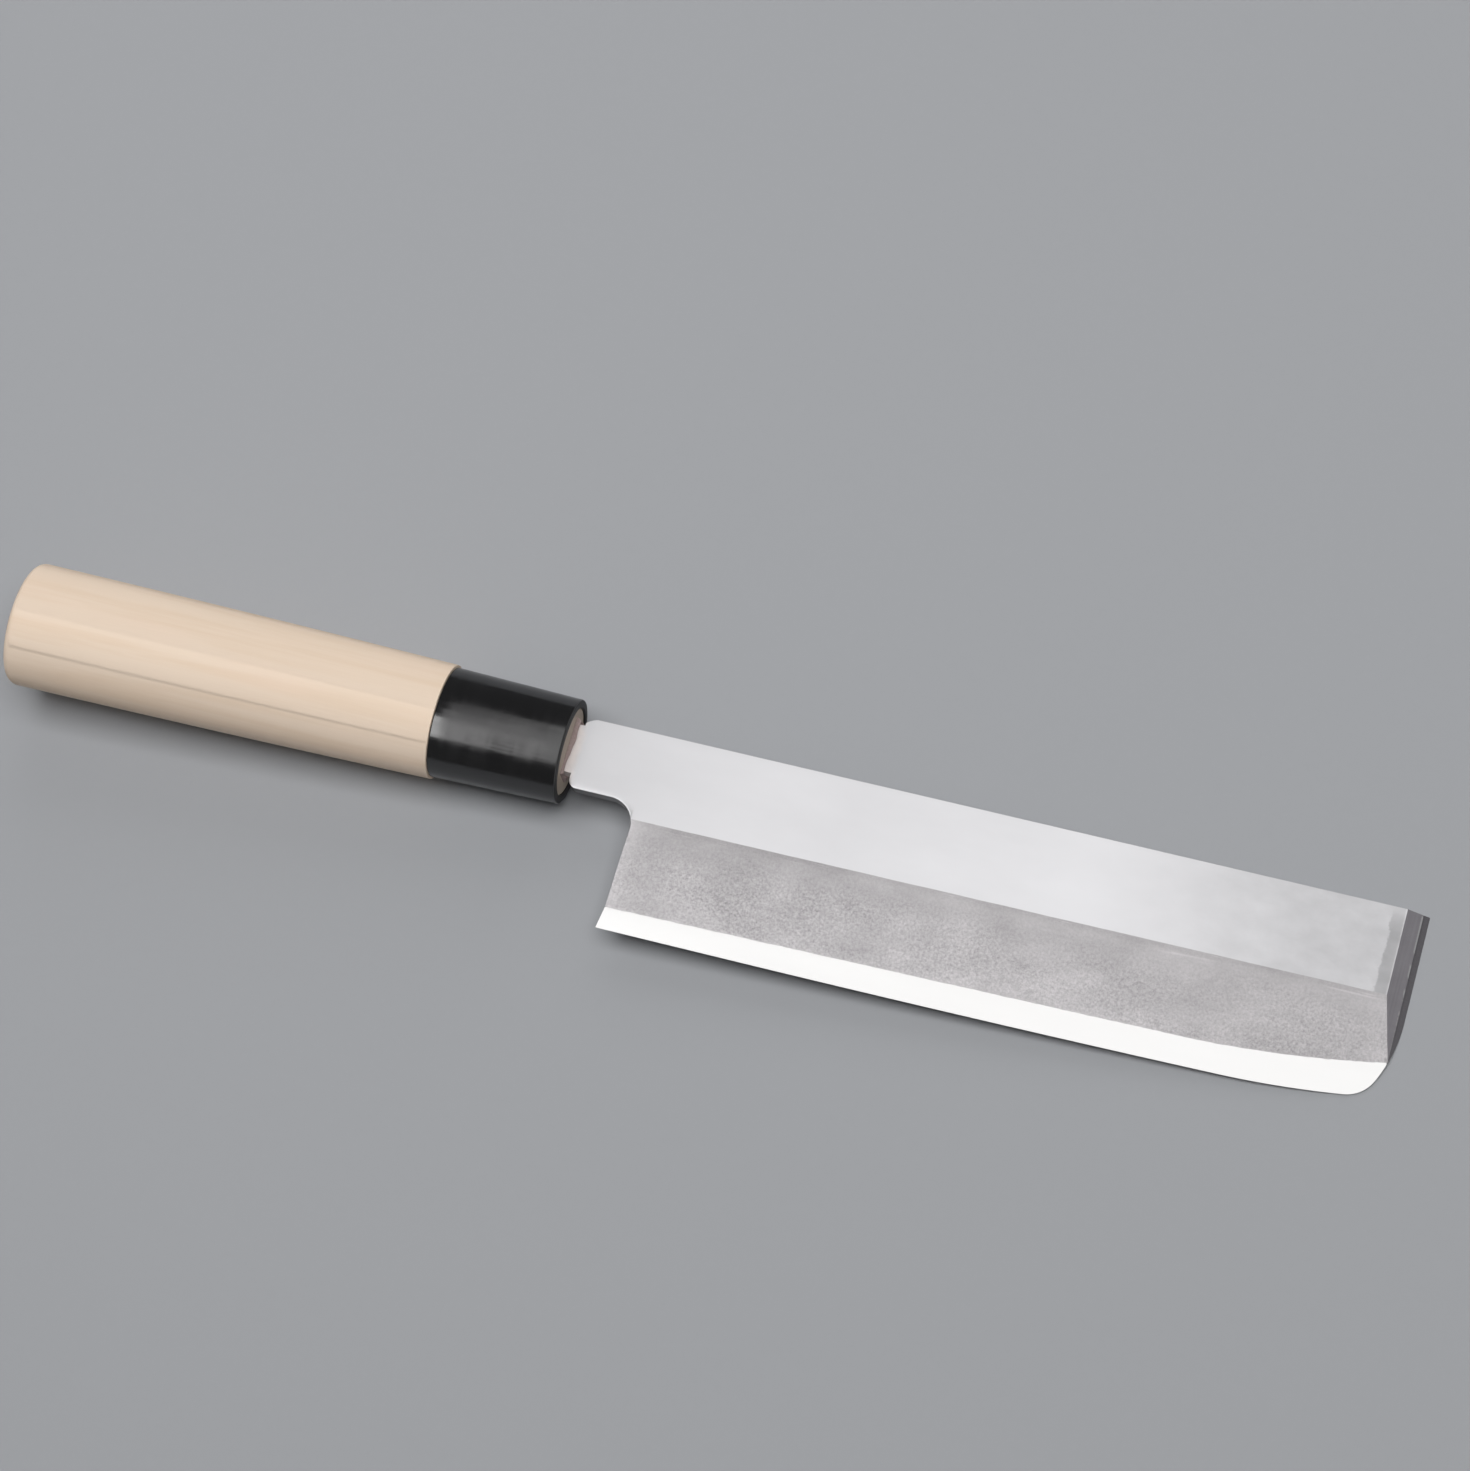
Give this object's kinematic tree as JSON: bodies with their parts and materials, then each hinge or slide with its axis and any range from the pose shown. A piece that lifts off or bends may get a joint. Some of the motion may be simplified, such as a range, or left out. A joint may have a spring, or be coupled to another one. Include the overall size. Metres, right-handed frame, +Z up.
{
  "type": "usuba knife",
  "caption": "Square-ended, single-bevel vegetable knife for the right hand, with an oval pale-wood handle and a black ferrule.",
  "frame": {"origin": "on the table the knife lies on, under the middle of its bounding box", "axes": "+X from the handle's butt to the blade's end, +Y from the edge to the spine, +Z up, out of the bevelled face"},
  "size_m": [0.3328, 0.053, 0.0297],
  "materials": {
    "soft_iron": "satin flat, finely blasted bevel",
    "hard_steel": "fine polish on the edge strip, ground back",
    "pale_wood": "bare, sanded smooth",
    "bedding": "dull filler",
    "black_ferrule": "polished black"
  },
  "bodies": {
    "root": {"blade_iron": "soft_iron", "edge_steel": "hard_steel", "handle_wood": "pale_wood", "tang_bedding": "bedding", "ferrule": "black_ferrule"}
  },
  "joints": []
}
